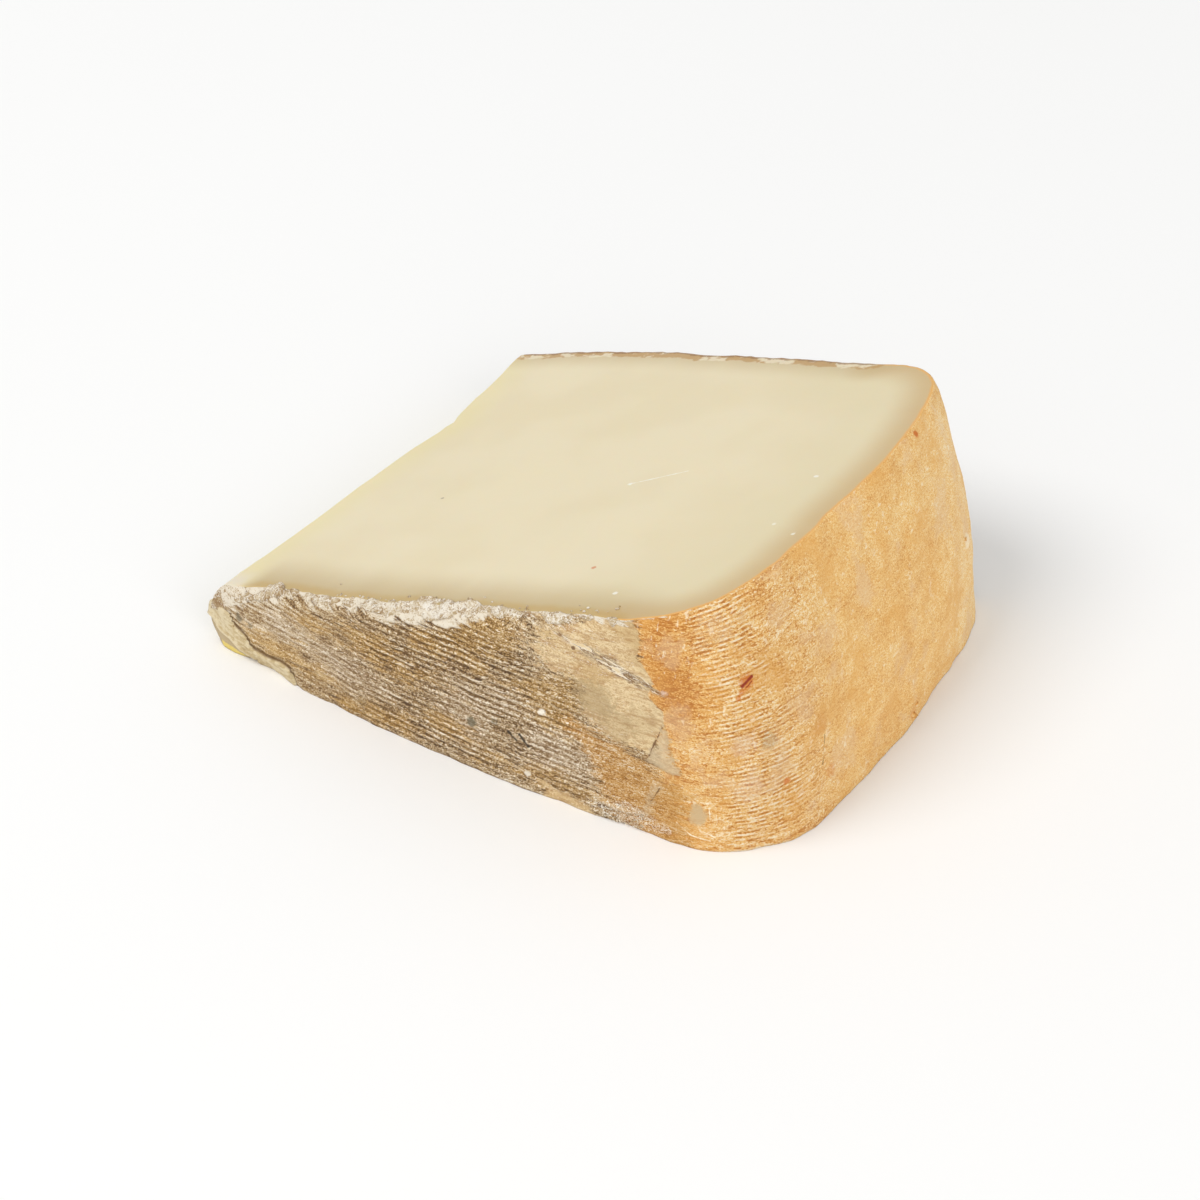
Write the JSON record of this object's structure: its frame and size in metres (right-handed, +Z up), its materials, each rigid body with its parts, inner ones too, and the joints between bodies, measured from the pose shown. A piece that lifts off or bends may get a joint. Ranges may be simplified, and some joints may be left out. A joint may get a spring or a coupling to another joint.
{
  "type": "sheep milk cheese wedge",
  "caption": "Wedge of pressed sheep's milk cheese with a smooth pale cut face and a ridged natural rind, lying on its other cut.",
  "frame": {"origin": "middle of the wedge's box in plan, at the level of the lower cut that it lies on", "axes": "+X from the thin nose to the rim of the wheel, +Y along the wheel's axis from the near flat face to the far one, +Z up from the lower cut"},
  "size_m": [0.1282, 0.107, 0.0513],
  "materials": {
    "cheese": "matt ridged natural rind, golden brown to orange, with a satin smooth pale cream cut"
  },
  "bodies": {
    "root": {"cheese": "cheese"}
  },
  "joints": []
}
